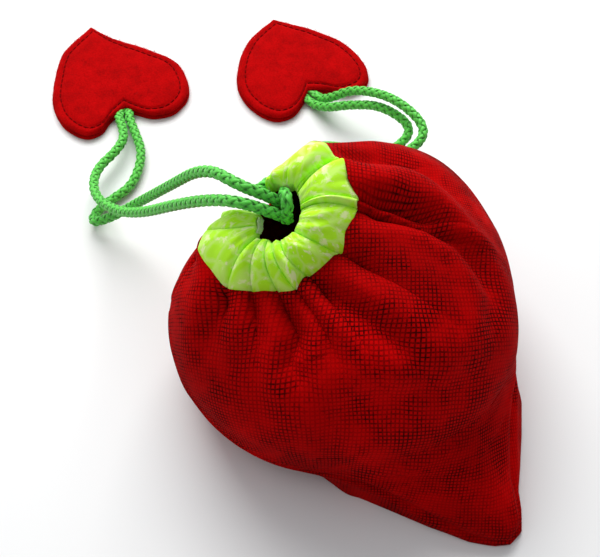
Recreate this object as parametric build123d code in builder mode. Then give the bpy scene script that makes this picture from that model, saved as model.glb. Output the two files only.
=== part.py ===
"""Drawstring pouch shaped like a strawberry, with two felt heart pulls.

Millimetres, +Z up, resting on Z = 0. The pouch is closed and stands plump on
its side seams' far panel, its empty corner lying flat towards +X -Y. The
mouth faces up, towards -X -Y. Each drawstring is one cord with both ends
sewn into a heart that lies on the table behind the pouch.
"""

import math
import os

from build123d import *

os.makedirs("parts", exist_ok=True)

# ---- driving dimensions -------------------------------------------------
CORD_D = 4.0
CLEAR = 0.3
WALL = 2.0

MOUTH = Vector(-21, 7, 78)
MOUTH_UP = Vector(-0.20, -0.33, 0.92).normalized()
HOLE_R = 9.0
COLLAR_R = 24.0
COLLAR_DROP = 6.0
NECK_H = 32.0
NECK_SPREAD = 0.35
LEFT_CORD_R = 12.2
RIGHT_CORD_R = 17.0
FRONT_ARC = (178.0, 414.0)
BACK_ARC = (81.0, 106.0)

# the side seams: a sloping plane round the lump, and an upright one behind the mouth
SEAM_UP = Vector(0.078, -0.327, 0.942).normalized()
SEAM_AT = Vector(0, -5, 29)
GAPS_OUT = Vector(0.596, -0.803, 0.0).normalized()
GAPS_AT = Vector(-40, 14, 68)
BODY_CENTRE = Vector(0, 5, 34)
BODY_R = 60.5
BODY_HALF_H = 38.0

TIP = Vector(54, -67, 0)
TAIL_FROM = 36.0

FELT_T = 2.1
HEART_STITCH_IN = 3.0

# ---- cord routes, by hand -----------------------------------------------
LEFT_UPPER = (
    (-17.6, 13.6, 75.5),
    (-24.0, 12.2, 82.5),
    (-32.0, 12.0, 87.5),
    (-44.0, 24.5, 82.0),
    (-60.0, 42.0, 50.0),
    (-76.0, 57.0, 21.0),
    (-89.5, 59.5, 8.4),
    (-99.0, 59.5, 4.6),
    (-98.0, 68.3, 2.7),
    (-89.0, 74.0, 2.3),
    (-81.5, 81.0, 2.4),
    (-78.6, 97.0, 3.0),
    (-83.5, 110.0, 3.0),
    (-86.2, 117.4, 2.2),
)
LEFT_LOWER = (
    (-17.2, 9.6, 74.0),
    (-24.0, 8.0, 80.5),
    (-33.0, 7.6, 85.5),
    (-41.5, 13.5, 79.0),
    (-54.0, 25.5, 61.5),
    (-72.0, 43.5, 32.5),
    (-84.5, 55.5, 18.5),
    (-95.0, 69.0, 10.5),
    (-97.0, 84.5, 7.0),
    (-88.0, 97.5, 6.0),
    (-86.6, 107.0, 5.0),
    (-90.6, 117.4, 2.2),
)
RIGHT_UPPER = (
    (-12.2, 24.9, 85.6),
    (-8.0, 44.0, 84.0),
    (1.5, 62.5, 63.0),
    (12.0, 74.0, 41.5),
    (25.0, 81.0, 23.0),
    (38.0, 92.0, 22.0),
    (25.0, 108.0, 24.5),
    (8.5, 121.0, 16.5),
    (-1.5, 123.5, 7.5),
    (-4.6, 128.4, 2.2),
)
RIGHT_LOWER = (
    (-16.6, 26.6, 85.6),
    (-13.4, 45.0, 83.0),
    (-4.5, 64.5, 61.0),
    (6.0, 77.0, 38.5),
    (19.5, 86.0, 17.0),
    (33.0, 97.5, 17.0),
    (20.0, 110.0, 18.0),
    (6.5, 116.0, 12.0),
    (-3.4, 119.5, 6.0),
    (-7.9, 125.1, 2.2),
)
BRIDGE = (
    (-19.0, 13.6, 83.4),
    (-17.9, 8.6, 83.4),
    (-17.6, 3.6, 79.2),
)
ENTRY = (
    (-25.2, 18.0, 81.0),
    (-29.7, 16.7, 79.6),
)

LEFT_HEART = (
    (-108, 171), (-118, 155), (-120, 138), (-119, 124), (-113, 112), (-104, 106),
    (-97.5, 108.5), (-94, 115.5), (-88.5, 122), (-82, 119), (-75, 117.5), (-67, 121),
    (-62.5, 132), (-68, 148), (-84, 158), (-98, 164),
)
RIGHT_HEART = (
    (-26, 176), (-36, 163), (-40.5, 148), (-40, 133), (-34, 122), (-25, 116),
    (-17.5, 118), (-13.2, 124.5), (-10.5, 132), (-3, 132.2), (6, 131), (14, 136),
    (14.5, 146), (6, 160), (-8, 169), (-18, 173),
)
LEFT_NOTCH = Vector(-88.5, 122, 0)
RIGHT_NOTCH = Vector(-10.5, 132, 0)
LEFT_INWARDS = Vector(0.0, 1.0, 0)
RIGHT_INWARDS = Vector(-0.7071, 0.7071, 0)
LEFT_HEART_MID = Vector(-92, 137, 0)
RIGHT_HEART_MID = Vector(-14, 147, 0)

mouth_plane = Plane(origin=MOUTH, x_dir=(0.977, 0.0, 0.2124), z_dir=MOUTH_UP)


# ---- helpers ------------------------------------------------------------
def lump(shrink):
    """The plump body, a squashed ball with a small flat on top, smaller by a distance."""
    with BuildPart() as solid:
        with BuildSketch(Plane.XZ):
            Ellipse(BODY_R - shrink, BODY_HALF_H - shrink)
            with Locations((-100, 0)):
                Rectangle(200, 200, mode=Mode.SUBTRACT)
            with Locations((0, BODY_HALF_H - shrink)):
                Rectangle(200, 0.4, mode=Mode.SUBTRACT)
        revolve(axis=Axis.Z)
    return Pos(BODY_CENTRE) * solid.part


def tail():
    """The flattened empty corner, from inside the lump out to its blunt tip."""
    along = Vector(TIP.X, TIP.Y, 0).normalized()
    across = Vector(-along.Y, along.X, 0)
    reach = Vector(TIP.X, TIP.Y, 0).length
    stations = (
        (TAIL_FROM, 66.0, 26.0),
        (0.66 * reach, 52.0, 15.0),
        (0.85 * reach, 31.0, 7.4),
        (reach, 9.0, 3.4),
    )
    with BuildPart() as solid:
        for dist, width, height in stations:
            flat = Plane(origin=along * dist + Vector(0, 0, height / 2), x_dir=across, z_dir=along)
            with BuildSketch(flat):
                RectangleRounded(width, height, height * 0.45)
        loft(ruled=True)
    return solid.part


def front_side(gap):
    """A large block in front of both seam planes, moved forwards by a gap."""
    sloping = Plane(origin=SEAM_AT + SEAM_UP * (gap + 150), z_dir=SEAM_UP)
    upright = Plane(origin=GAPS_AT + GAPS_OUT * (gap + 150), z_dir=GAPS_OUT)
    with BuildPart() as block:
        with Locations(sloping.location):
            Box(600, 600, 300)
        with Locations(upright.location):
            Box(600, 600, 300, mode=Mode.INTERSECT)
    return block.part


def route_radii(route):
    """The largest arc that the two runs beside each inner point allow."""
    radii = []
    for k in range(1, len(route) - 1):
        before = Vector(*route[k]) - Vector(*route[k - 1])
        after = Vector(*route[k + 1]) - Vector(*route[k])
        turn = math.radians(before.get_angle(after))
        shorter = min(before.length, after.length)
        radii.append(round(min(0.45 * shorter / math.tan(turn / 2), 90.0), 2))
    return radii


def route_tube(route, diameter):
    """A round tube swept along straight runs joined by tangent arcs."""
    with BuildPart() as tube:
        with BuildLine() as path:
            if len(route) == 2:
                Line(*route)
            else:
                FilletPolyline(*route, radius=route_radii(route))
        with BuildSketch(Plane(origin=path.line @ 0, z_dir=path.line % 0)):
            Circle(diameter / 2)
        sweep(path=path.line)
    return tube.part, path.wire().length


def cord_tube(name, route):
    """A cord's solid, with its length, bends and volume printed."""
    tube, length = route_tube(route, CORD_D)
    off = tube.volume / (math.pi * CORD_D**2 / 4 * length) - 1
    print(name, "length", round(length, 1), "radii", route_radii(route), "volume off", round(off, 4))
    return tube


def heart_outline(points, inwards, middle):
    """Points of a heart outline, moved towards the middle by a distance."""
    moved = []
    for x, y in points:
        away = Vector(x, y, 0) - middle
        moved.append((x - inwards * away.X / away.length, y - inwards * away.Y / away.length))
    return moved


def heart_sheet(points, tip_index, notch_index, bottom, thick):
    """One layer of felt, cut with a point at the tip and a notch between two lobes."""
    first = points[tip_index:notch_index + 1]
    second = points[notch_index:] + points[:1]
    with BuildPart() as felt:
        with BuildSketch(Plane.XY.offset(bottom)):
            with BuildLine():
                Spline(*first)
                Spline(*second)
            make_face()
        extrude(amount=thick)
    return felt.part


# ---- body panels --------------------------------------------------------
def neck(inset):
    """The cone of gathered cloth that rises from the lump to the collar's seam, less a wall."""
    foot = COLLAR_R + NECK_SPREAD * NECK_H
    with BuildPart() as cone:
        with Locations((0, 0, -COLLAR_DROP - NECK_H / 2 + inset / 2)):
            Cone(foot - inset, COLLAR_R - inset + NECK_SPREAD * inset / 2, NECK_H + inset)
    return mouth_plane.location * cone.part


with BuildPart() as above_seam:
    with Locations(mouth_plane.offset(-COLLAR_DROP + 20)):
        Cylinder(COLLAR_R + 1.2, 40)
below_floor = Pos(0, 0, -50) * Box(400, 400, 100)
inside_floor = Pos(0, 0, -50 + WALL + 0.5) * Box(400, 400, 100)
inner = lump(WALL + 0.5) - inside_floor
lump_wall = lump(0.0) + neck(0.0) - above_seam.part - below_floor - inner - neck(WALL + 0.5)
tail_wedge = tail() - lump(WALL + 0.5) - below_floor
front_shell = (lump_wall & front_side(0.15)) + (tail_wedge & front_side(0.15))
back_shell = (lump_wall - front_side(-0.15)) + (tail_wedge - front_side(-0.15))

with BuildPart() as body_front_panel:
    add(front_shell, clean=False)
body_front_panel.part.label = "body_front_panel"
export_step(body_front_panel.part, "parts/body_front_panel.step")

with BuildPart() as body_back_panel:
    add(back_shell, clean=False)
body_back_panel.part.label = "body_back_panel"
export_step(body_back_panel.part, "parts/body_back_panel.step")
print("front", round(body_front_panel.part.volume))
print("back", round(body_back_panel.part.volume), len(body_back_panel.part.solids()))


# ---- gathered casing round the mouth ------------------------------------
def casing(arc):
    """Part of the collar, with the two channels that the drawstrings run in."""
    start, end = arc
    with BuildPart() as collar:
        with BuildSketch(Plane.XZ) as profile:
            with BuildLine():
                Polyline(
                    (HOLE_R, 0.9),
                    (HOLE_R + 2.2, 3.1),
                    (HOLE_R + 8.0, 3.4),
                    (COLLAR_R - 1.5, -0.6),
                    (COLLAR_R - 0.2, -COLLAR_DROP + CLEAR),
                    (COLLAR_R - 4.0, -COLLAR_DROP + CLEAR),
                    (HOLE_R + 8.0, -3.4),
                    (HOLE_R + 1.6, -3.0),
                    (HOLE_R, -0.9),
                    close=True,
                )
            make_face()
            with Locations((LEFT_CORD_R, 0), (RIGHT_CORD_R, 0)):
                Circle(CORD_D / 2 + 0.25, mode=Mode.SUBTRACT)
        revolve(axis=Axis.Z, revolution_arc=end - start)
    return mouth_plane.location * Rotation(0, 0, start) * collar.part


with BuildPart() as casing_front:
    add(casing(FRONT_ARC))
casing_front.part.label = "casing_front"
export_step(casing_front.part, "parts/casing_front.step")

with BuildPart() as casing_back:
    add(casing(BACK_ARC))
casing_back.part.label = "casing_back"
export_step(casing_back.part, "parts/casing_back.step")
print("casings", round(casing_front.part.volume), round(casing_back.part.volume))


def ring_cord(name, radius, start, end):
    """The run of a drawstring inside the casing, round the mouth."""
    with BuildPart() as ring:
        with BuildSketch(Plane.XZ):
            with Locations((radius, 0)):
                Circle(CORD_D / 2)
        revolve(axis=Axis.Z, revolution_arc=end - start)
    print(name, "length", round(math.radians(end - start) * radius, 1), "radius", radius)
    return mouth_plane.location * Rotation(0, 0, start) * ring.part


with BuildPart() as cord_left_in_front:
    add(ring_cord("cord_left_in_front", LEFT_CORD_R, FRONT_ARC[0], FRONT_ARC[1]))
cord_left_in_front.part.label = "cord_left_in_front"
export_step(cord_left_in_front.part, "parts/cord_left_in_front.step")

with BuildPart() as cord_left_in_back:
    add(ring_cord("cord_left_in_back", LEFT_CORD_R, BACK_ARC[0], BACK_ARC[1]))
cord_left_in_back.part.label = "cord_left_in_back"
export_step(cord_left_in_back.part, "parts/cord_left_in_back.step")

with BuildPart() as cord_right_in_front:
    add(ring_cord("cord_right_in_front", RIGHT_CORD_R, FRONT_ARC[0], FRONT_ARC[1]))
cord_right_in_front.part.label = "cord_right_in_front"
export_step(cord_right_in_front.part, "parts/cord_right_in_front.step")

with BuildPart() as cord_right_in_back:
    add(ring_cord("cord_right_in_back", RIGHT_CORD_R, BACK_ARC[0], BACK_ARC[1]))
cord_right_in_back.part.label = "cord_right_in_back"
export_step(cord_right_in_back.part, "parts/cord_right_in_back.step")

# ---- free cords ---------------------------------------------------------
with BuildPart() as cord_left_upper:
    add(cord_tube("cord_left_upper", LEFT_UPPER))
cord_left_upper.part.label = "cord_left_upper"
export_step(cord_left_upper.part, "parts/cord_left_upper.step")

with BuildPart() as cord_left_lower:
    add(cord_tube("cord_left_lower", LEFT_LOWER))
cord_left_lower.part.label = "cord_left_lower"
export_step(cord_left_lower.part, "parts/cord_left_lower.step")

with BuildPart() as cord_right_upper:
    add(cord_tube("cord_right_upper", RIGHT_UPPER))
cord_right_upper.part.label = "cord_right_upper"
export_step(cord_right_upper.part, "parts/cord_right_upper.step")

with BuildPart() as cord_right_lower:
    add(cord_tube("cord_right_lower", RIGHT_LOWER))
cord_right_lower.part.label = "cord_right_lower"
export_step(cord_right_lower.part, "parts/cord_right_lower.step")

with BuildPart() as cord_right_bridge:
    add(cord_tube("cord_right_bridge", BRIDGE))
cord_right_bridge.part.label = "cord_right_bridge"
export_step(cord_right_bridge.part, "parts/cord_right_bridge.step")

with BuildPart() as cord_left_entry:
    add(cord_tube("cord_left_entry", ENTRY))
cord_left_entry.part.label = "cord_left_entry"
export_step(cord_left_entry.part, "parts/cord_left_entry.step")


# ---- felt hearts --------------------------------------------------------
def sewn_ends(inwards, ends):
    """The two squashed cord ends between the felt layers, inside the notch."""
    with BuildPart() as sewn:
        for end in ends:
            at = Vector(end[0], end[1], FELT_T) + inwards * 6.6
            with Locations(Plane(origin=at, x_dir=inwards, z_dir=(0, 0, 1)).location):
                Box(11.0, 3.6, 2.2)
    return sewn.part


def stitch_dashes(points, middle):
    """A row of machine stitches lying on the upper felt, inside its edge."""
    line = heart_outline(points, HEART_STITCH_IN, middle)
    with BuildLine() as path:
        Spline(*(line[0:9]))
        Spline(*(line[8:] + line[:1]))
    with BuildPart() as stitches:
        for edge in path.edges():
            count = int(edge.length / 3.2)
            for k in range(count):
                t = (k + 0.5) / count
                at = edge @ t
                spot = Plane(origin=(at.X, at.Y, 2 * FELT_T + 0.15), x_dir=edge % t, z_dir=(0, 0, 1))
                with Locations(spot.location):
                    Box(2.2, 0.5, 0.3)
    return stitches.part


left_sewn = sewn_ends(LEFT_INWARDS, (LEFT_UPPER[-1], LEFT_LOWER[-1]))
right_sewn = sewn_ends(RIGHT_INWARDS, (RIGHT_UPPER[-1], RIGHT_LOWER[-1]))

with BuildPart() as heart_left_bottom:
    add(heart_sheet(LEFT_HEART, 0, 8, 0.0, FELT_T))
    add(left_sewn, mode=Mode.SUBTRACT)
heart_left_bottom.part.label = "heart_left_bottom"
export_step(heart_left_bottom.part, "parts/heart_left_bottom.step")

with BuildPart() as heart_left_top:
    add(heart_sheet(LEFT_HEART, 0, 8, FELT_T, FELT_T))
    add(left_sewn, mode=Mode.SUBTRACT)
heart_left_top.part.label = "heart_left_top"
export_step(heart_left_top.part, "parts/heart_left_top.step")

with BuildPart() as heart_left_cord_ends:
    add(left_sewn)
heart_left_cord_ends.part.label = "heart_left_cord_ends"
export_step(heart_left_cord_ends.part, "parts/heart_left_cord_ends.step")

with BuildPart() as heart_left_stitching:
    add(stitch_dashes(LEFT_HEART, LEFT_HEART_MID))
heart_left_stitching.part.label = "heart_left_stitching"
export_step(heart_left_stitching.part, "parts/heart_left_stitching.step")

with BuildPart() as heart_right_bottom:
    add(heart_sheet(RIGHT_HEART, 0, 8, 0.0, FELT_T))
    add(right_sewn, mode=Mode.SUBTRACT)
heart_right_bottom.part.label = "heart_right_bottom"
export_step(heart_right_bottom.part, "parts/heart_right_bottom.step")

with BuildPart() as heart_right_top:
    add(heart_sheet(RIGHT_HEART, 0, 8, FELT_T, FELT_T))
    add(right_sewn, mode=Mode.SUBTRACT)
heart_right_top.part.label = "heart_right_top"
export_step(heart_right_top.part, "parts/heart_right_top.step")

with BuildPart() as heart_right_cord_ends:
    add(right_sewn)
heart_right_cord_ends.part.label = "heart_right_cord_ends"
export_step(heart_right_cord_ends.part, "parts/heart_right_cord_ends.step")

with BuildPart() as heart_right_stitching:
    add(stitch_dashes(RIGHT_HEART, RIGHT_HEART_MID))
heart_right_stitching.part.label = "heart_right_stitching"
export_step(heart_right_stitching.part, "parts/heart_right_stitching.step")
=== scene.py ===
"""Strawberry-shaped drawstring pouch: the looks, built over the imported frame.

Metres, +Z up. Lengths in the tables below are in millimetres and are
multiplied by MM where they become geometry.
"""
import math

import bmesh
import bpy
import numpy as np
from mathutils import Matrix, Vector


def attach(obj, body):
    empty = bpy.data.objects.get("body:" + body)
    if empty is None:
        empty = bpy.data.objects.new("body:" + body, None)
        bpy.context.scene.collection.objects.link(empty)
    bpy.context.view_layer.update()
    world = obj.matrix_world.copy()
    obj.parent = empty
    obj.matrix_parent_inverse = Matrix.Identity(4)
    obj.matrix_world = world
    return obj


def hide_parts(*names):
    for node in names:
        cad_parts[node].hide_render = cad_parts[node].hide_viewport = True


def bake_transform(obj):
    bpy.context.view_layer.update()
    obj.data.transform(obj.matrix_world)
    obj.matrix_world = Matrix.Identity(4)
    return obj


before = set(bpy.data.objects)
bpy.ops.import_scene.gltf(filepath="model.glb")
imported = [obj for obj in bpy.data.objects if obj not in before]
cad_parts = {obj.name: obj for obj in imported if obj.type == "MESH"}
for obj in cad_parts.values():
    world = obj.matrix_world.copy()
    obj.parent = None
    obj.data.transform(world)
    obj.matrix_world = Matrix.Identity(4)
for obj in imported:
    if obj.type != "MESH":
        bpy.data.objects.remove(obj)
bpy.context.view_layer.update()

MM = 0.001

# ------------------------------------------------------------------ camera
cam_data = bpy.data.cameras.new("camera")
cam_data.lens = 66.0
cam_data.sensor_width = 36.0
cam_data.sensor_fit = "HORIZONTAL"
camera = bpy.data.objects.new("camera", cam_data)
camera.location = (-0.014, -0.1993, 0.3503)
camera.rotation_euler = (math.radians(34.0), 0.0, 0.0)
bpy.context.collection.objects.link(camera)
bpy.context.scene.camera = camera

# ------------------------------------------------------------ cord routes
# control points in mm, from the mouth to the heart; the scene's own, close to the CAD routes
LEFT_UPPER = (
    (-17.6, 13.6, 75.5), (-24.0, 12.2, 82.5), (-32.0, 12.0, 87.5), (-44.0, 24.5, 82.0),
    (-60.0, 42.0, 50.0), (-76.0, 57.0, 21.0), (-87.5, 60.0, 8.4), (-95.8, 60.0, 4.6),
    (-95.0, 67.6, 2.7), (-89.0, 74.0, 2.3), (-81.5, 81.0, 2.4), (-78.6, 97.0, 3.0),
    (-83.5, 110.0, 3.0), (-86.2, 117.4, 2.2),
)
LEFT_LOWER = (
    (-17.2, 9.6, 74.0), (-24.0, 8.0, 80.5), (-33.0, 7.6, 85.5), (-41.5, 13.5, 79.0),
    (-54.0, 25.5, 61.5), (-72.0, 43.5, 32.5), (-84.5, 55.5, 18.5), (-95.0, 69.0, 10.5),
    (-97.0, 84.5, 7.0), (-88.0, 97.5, 6.0), (-86.6, 107.0, 5.0), (-90.6, 117.4, 2.2),
)
RIGHT_UPPER = (
    (-9.8, 23.6, 83.0), (-5.8, 34.8, 77.6), (2.2, 56.0, 52.6), (12.0, 71.0, 34.5),
    (25.0, 81.0, 19.0), (38.0, 92.0, 22.0), (25.0, 108.0, 24.5), (8.5, 121.0, 16.5),
    (-1.5, 123.5, 7.5), (-4.6, 128.4, 2.2),
)
RIGHT_LOWER = (
    (-13.2, 24.6, 82.2), (-10.5, 35.8, 76.8), (-3.5, 58.8, 52.2), (6.0, 74.0, 32.0),
    (19.5, 86.0, 14.0), (33.0, 97.5, 17.0), (20.0, 110.0, 18.0), (6.5, 116.0, 12.0),
    (-3.4, 119.5, 6.0), (-7.9, 125.1, 2.2),
)
BRIDGE = ((-19.0, 14.4, 81.4), (-18.3, 11.0, 84.6), (-17.7, 7.8, 81.0), (-18.4, 8.4, 75.0))
ENTRY = ((-20.2, 22.6, 79.6), (-23.6, 19.2, 81.0), (-28.2, 15.4, 80.0))


def length_along(line):
    """Distance from a line's start to each of its points."""
    return np.r_[0, np.cumsum(np.linalg.norm(np.diff(line, axis=0), axis=1))]


def points_at(line, along, want):
    """Points on a line at the wanted distances from its start."""
    return np.stack([np.interp(want, along, line[:, k]) for k in range(line.shape[1])], 1)


def nurbs_path(name, route, step=0.42):
    """Even points, in mm, along one open NURBS spline through the route's control points."""
    data = bpy.data.curves.new(name, "CURVE")
    data.dimensions = "3D"
    data.resolution_u = 24
    spline = data.splines.new("NURBS")
    spline.points.add(len(route) - 1)
    for point, at in zip(spline.points, route):
        point.co = (at[0] * MM, at[1] * MM, at[2] * MM, 1.0)
    spline.order_u = 3
    spline.use_endpoint_u = True
    holder = bpy.data.objects.new(name, data)
    bpy.context.collection.objects.link(holder)
    bpy.context.view_layer.update()
    mesh = bpy.data.meshes.new_from_object(holder)
    line = np.array([v.co for v in mesh.vertices]) / MM
    bpy.data.objects.remove(holder)
    bpy.data.meshes.remove(mesh)
    along = length_along(line)
    count = max(int(along[-1] / step), 8)
    return points_at(line, along, np.linspace(0, along[-1], count)), along[-1]


def frames(points):
    """Tangent and two side vectors at each point, carried along without twist."""
    tangent = np.gradient(points, axis=0)
    tangent /= np.linalg.norm(tangent, axis=1)[:, None]
    side = np.cross(tangent[0], (0.0, 0.0, 1.0))
    if np.linalg.norm(side) < 0.1:
        side = np.array((1.0, 0.0, 0.0))
    sides = []
    for t in tangent:
        side = side - t * (side @ t)
        side = side / np.linalg.norm(side)
        sides.append(side)
    sides = np.array(sides)
    return tangent, sides, np.cross(tangent, sides)


def mesh_object(name, verts, faces, material=None, smooth=True):
    """A mesh from points in mm."""
    mesh = bpy.data.meshes.new(name)
    verts = np.asarray(verts, float) * MM
    faces = np.asarray(faces, int)
    mesh.vertices.add(len(verts))
    mesh.vertices.foreach_set("co", verts.ravel())
    width = faces.shape[1]
    mesh.loops.add(faces.size)
    mesh.loops.foreach_set("vertex_index", faces.ravel())
    mesh.polygons.add(len(faces))
    mesh.polygons.foreach_set("loop_start", np.arange(0, faces.size, width))
    mesh.polygons.foreach_set("loop_total", np.full(len(faces), width))
    mesh.update(calc_edges=True)
    mesh.validate()
    if smooth:
        mesh.polygons.foreach_set("use_smooth", np.ones(len(mesh.polygons), bool))
    piece = bpy.data.objects.new(name, mesh)
    bpy.context.collection.objects.link(piece)
    if material:
        mesh.materials.append(material)
    return piece


def grid_faces(rows, cols, wrap):
    """Quads of a grid, wrapped round its columns or open."""
    r = np.arange(rows - 1)[:, None]
    c = np.arange(cols if wrap else cols - 1)[None, :]
    n = (c + 1) % cols
    quads = np.stack([r * cols + c, r * cols + n, (r + 1) * cols + n, (r + 1) * cols + c], -1)
    return quads.reshape(-1, 4)


def tube_grid(points, across, up, around=8, wide=1.0, high=1.0):
    """Rings of points round a line, an ellipse in section."""
    a = np.linspace(0, 2 * np.pi, around, endpoint=False)
    ring = points[:, None, :] + across[:, None, :] * (wide * np.cos(a))[None, :, None]
    ring = ring + up[:, None, :] * (high * np.sin(a))[None, :, None]
    return ring.reshape(-1, 3), grid_faces(len(points), around, True)


# -------------------------------------------------------------- materials
def shader(name):
    """A new material, its node tree and its surface node."""
    material = bpy.data.materials.new(name)
    material.use_nodes = True
    tree = material.node_tree
    return material, tree, tree.nodes["Principled BSDF"]


def node(tree, kind, **values):
    """A node, with its inputs or settings given by name."""
    made = tree.nodes.new(kind)
    for key, value in values.items():
        if key in made.inputs:
            made.inputs[key].default_value = value
        else:
            setattr(made, key, value)
    return made


def maths(tree, operation, a, b=None, clamp=False):
    """A sum on numbers or on other nodes' outputs."""
    made = tree.nodes.new("ShaderNodeMath")
    made.operation = operation
    made.use_clamp = clamp
    for slot, value in zip(made.inputs, (a, b)):
        if value is None:
            continue
        if isinstance(value, (int, float)):
            slot.default_value = value
        else:
            tree.links.new(value, slot)
    return made.outputs[0]


def ramp(tree, source, stops):
    """A colour from a value, by stops of (value, colour)."""
    made = tree.nodes.new("ShaderNodeValToRGB")
    for k, (at, colour) in enumerate(stops):
        stop = made.color_ramp.elements[k] if k < 2 else made.color_ramp.elements.new(at)
        stop.position = at
        stop.color = (*colour, 1.0)
    tree.links.new(source, made.inputs[0])
    return made.outputs[0]


def mix(tree, factor, a, b, blend="MIX"):
    """Two colours mixed, each a tuple or another node's output."""
    made = tree.nodes.new("ShaderNodeMix")
    made.data_type = "RGBA"
    made.blend_type = blend
    if isinstance(factor, (int, float)):
        made.inputs[0].default_value = factor
    else:
        tree.links.new(factor, made.inputs[0])
    for slot, value in ((made.inputs[6], a), (made.inputs[7], b)):
        if isinstance(value, tuple):
            slot.default_value = (*value, 1.0)
        else:
            tree.links.new(value, slot)
    return made.outputs[2]


def bump(tree, height, strength, distance):
    """A surface normal tilted by a height."""
    made = node(tree, "ShaderNodeBump", Strength=strength, Distance=distance)
    tree.links.new(height, made.inputs["Height"])
    return made.outputs[0]


def cloth_weave(tree, uv, scale):
    """Plain weave: threads over and under, from the cloth's own coordinates."""
    split = node(tree, "ShaderNodeSeparateXYZ")
    tree.links.new(uv, split.inputs[0])
    x = maths(tree, "MULTIPLY", split.outputs[0], scale)
    y = maths(tree, "MULTIPLY", split.outputs[1], scale)
    a = maths(tree, "ABSOLUTE", maths(tree, "SINE", x))
    b = maths(tree, "ABSOLUTE", maths(tree, "SINE", y))
    return maths(tree, "MULTIPLY", a, b)


# repeats of the weaves and of the red print's grid, metres
RED_THREAD, LIME_THREAD, EDGE_THREAD = 0.0007, 0.00065, 0.0006
PRINT_CELL = 0.00132


def red_cotton():
    """Red cotton with a darker, broken grid print."""
    material, tree, body = shader("red_print_cotton")
    uv = node(tree, "ShaderNodeUVMap", uv_map="cloth").outputs[0]
    warp = node(tree, "ShaderNodeTexNoise", Scale=34.0, Detail=2.0)
    tree.links.new(uv, warp.inputs["Vector"])
    moved = node(tree, "ShaderNodeVectorMath", operation="MULTIPLY_ADD")
    moved.inputs[1].default_value = (0.0045, 0.0045, 0.0)
    tree.links.new(warp.outputs["Color"], moved.inputs[0])
    tree.links.new(uv, moved.inputs[2])
    split = node(tree, "ShaderNodeSeparateXYZ")
    tree.links.new(moved.outputs[0], split.inputs[0])
    cell = 2 * math.pi / PRINT_CELL
    lines_x = maths(tree, "SINE", maths(tree, "MULTIPLY", split.outputs[0], cell))
    lines_y = maths(tree, "SINE", maths(tree, "MULTIPLY", split.outputs[1], cell))
    grid = maths(tree, "MAXIMUM", lines_x, lines_y)
    grid = maths(tree, "MULTIPLY", maths(tree, "ADD", grid, 0.15), 0.8, clamp=True)
    blotch = node(tree, "ShaderNodeTexNoise", Scale=62.0, Detail=5.0, Roughness=0.7)
    tree.links.new(uv, blotch.inputs["Vector"])
    patches = ramp(tree, blotch.outputs[0], ((0.40, (0, 0, 0)), (0.60, (1, 1, 1))))
    fine = node(tree, "ShaderNodeTexNoise", Scale=620.0, Detail=3.0, Roughness=0.7)
    tree.links.new(uv, fine.inputs["Vector"])
    broken = maths(tree, "MULTIPLY", grid, maths(tree, "ADD", fine.outputs[0], 0.25), clamp=True)
    cover = maths(tree, "ADD", maths(tree, "MULTIPLY", patches, 1.0), 0.40)
    amount = maths(tree, "MULTIPLY", broken, cover, clamp=True)
    colour = mix(tree, amount, (0.56, 0.0008, 0.001), (0.040, 0.0003, 0.0005))
    soft = node(tree, "ShaderNodeTexNoise", Scale=18.0, Detail=3.0)
    tree.links.new(uv, soft.inputs["Vector"])
    shade = ramp(tree, soft.outputs[0], ((0.35, (0.62, 0.62, 0.62)), (0.62, (1.0, 1.0, 1.0))))
    colour = mix(tree, 1.0, colour, shade, "MULTIPLY")
    tree.links.new(colour, body.inputs["Base Color"])
    weave = cloth_weave(tree, uv, 2 * math.pi / RED_THREAD)
    tree.links.new(bump(tree, weave, 0.35, 0.00012), body.inputs["Normal"])
    body.inputs["Roughness"].default_value = 0.82
    body.inputs["Specular IOR Level"].default_value = 0.02
    body.inputs["Sheen Weight"].default_value = 0.01
    body.inputs["Sheen Roughness"].default_value = 0.5
    body.inputs["Sheen Tint"].default_value = (1.0, 0.2, 0.15, 1.0)
    return material


def lime_cotton():
    """Lime cotton with a paler print of vines and leaves."""
    material, tree, body = shader("lime_print_cotton")
    uv = node(tree, "ShaderNodeUVMap", uv_map="cloth").outputs[0]
    warp = node(tree, "ShaderNodeTexNoise", Scale=90.0, Detail=2.0)
    tree.links.new(uv, warp.inputs["Vector"])
    moved = node(tree, "ShaderNodeVectorMath", operation="MULTIPLY_ADD")
    moved.inputs[1].default_value = (0.007, 0.007, 0.0)
    tree.links.new(warp.outputs["Color"], moved.inputs[0])
    tree.links.new(uv, moved.inputs[2])
    vine = node(tree, "ShaderNodeTexVoronoi", feature="DISTANCE_TO_EDGE", Scale=150.0)
    tree.links.new(moved.outputs[0], vine.inputs["Vector"])
    lines = ramp(tree, vine.outputs["Distance"], ((0.04, (1, 1, 1)), (0.16, (0, 0, 0))))
    leaf = node(tree, "ShaderNodeTexNoise", Scale=210.0, Detail=3.0, Roughness=0.55)
    tree.links.new(moved.outputs[0], leaf.inputs["Vector"])
    leaves = ramp(tree, leaf.outputs[0], ((0.55, (0, 0, 0)), (0.64, (1, 1, 1))))
    vines = maths(tree, "MULTIPLY", lines, 0.28)
    pale = maths(tree, "MAXIMUM", vines, maths(tree, "MULTIPLY", leaves, 0.9), clamp=True)
    colour = mix(tree, pale, (0.50, 1.0, 0.012), (0.88, 1.0, 0.46))
    tree.links.new(colour, body.inputs["Base Color"])
    weave = cloth_weave(tree, uv, 2 * math.pi / LIME_THREAD)
    tree.links.new(bump(tree, weave, 0.35, 0.00012), body.inputs["Normal"])
    body.inputs["Roughness"].default_value = 0.8
    body.inputs["Specular IOR Level"].default_value = 0.25
    body.inputs["Sheen Weight"].default_value = 0.1
    return material


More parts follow.
